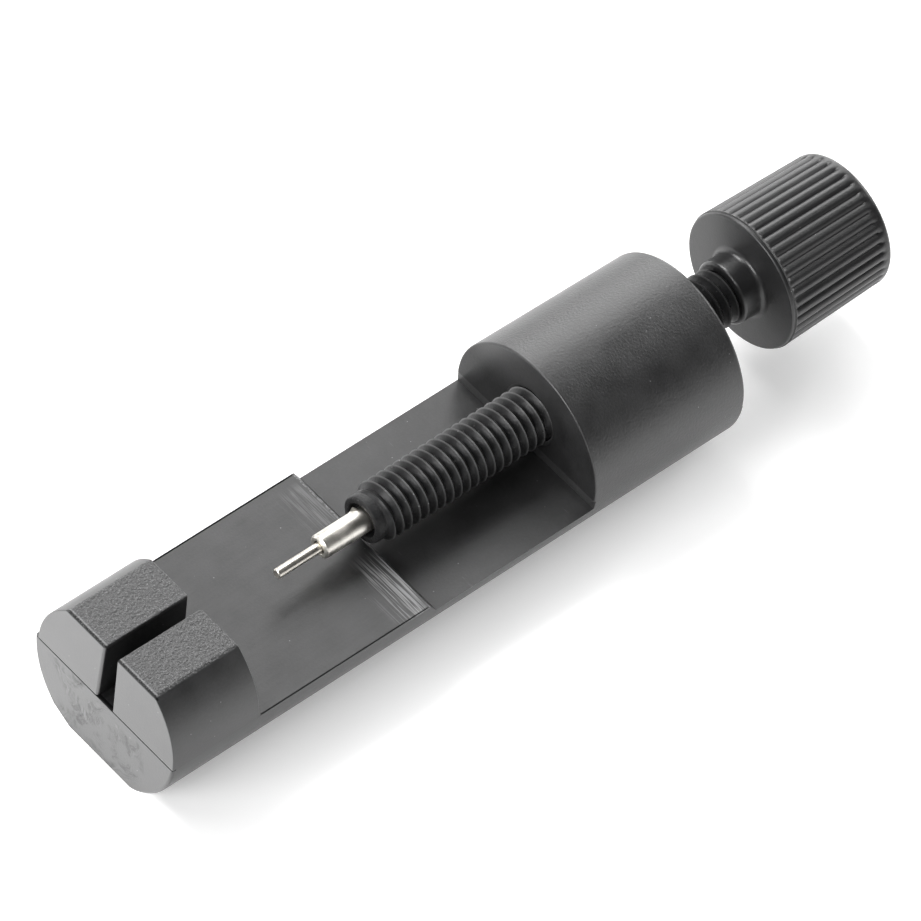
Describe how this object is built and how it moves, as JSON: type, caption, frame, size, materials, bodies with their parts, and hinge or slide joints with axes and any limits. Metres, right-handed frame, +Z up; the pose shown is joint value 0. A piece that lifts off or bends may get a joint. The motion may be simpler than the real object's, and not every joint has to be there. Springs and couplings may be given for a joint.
{
  "type": "watch bracelet pin pusher",
  "caption": "Small screw press for watch bracelets: a slotted anvil and flat bed on a round body, with a knurled screw that drives a thin push pin.",
  "frame": {"origin": "centre of the whole tool's box on the surface it stands on", "axes": "+X along the tool from the anvil to the knob, +Z up from the flat base, +Y to the left of someone looking from the anvil along the tool to the knob"},
  "size_m": [0.0668, 0.0142, 0.0137],
  "materials": {
    "body_plastic": "satin moulded, with a spark-eroded texture on the posts' tops",
    "screw_plastic": "semi-gloss black",
    "knob_plastic": "satin, moulded ribs",
    "holder_steel": "bright nickel",
    "pin_steel": "bright ground steel"
  },
  "bodies": {
    "base": {"body": "body_plastic"},
    "pin_carriage": {"pin_holder": "holder_steel", "push_pin": "pin_steel"},
    "screw": {"feed_screw": "screw_plastic", "knob": "knob_plastic"}
  },
  "joints": [
    {"name": "pin_feed", "type": "slide", "parent": "base", "child": "pin_carriage", "axis": [1, 0, 0], "range_m": [-0.00375, 0.015]},
    {"name": "knob_turn", "type": "hinge", "parent": "pin_carriage", "child": "screw", "pos_m": [0, 0, 0.0083], "axis": [1, 0, 0], "range_deg": [-1801, 7201]}
  ],
  "couplings": [
    {"joint": "knob_turn", "follows": "pin_feed", "rad_per_m": 8377.6}
  ]
}
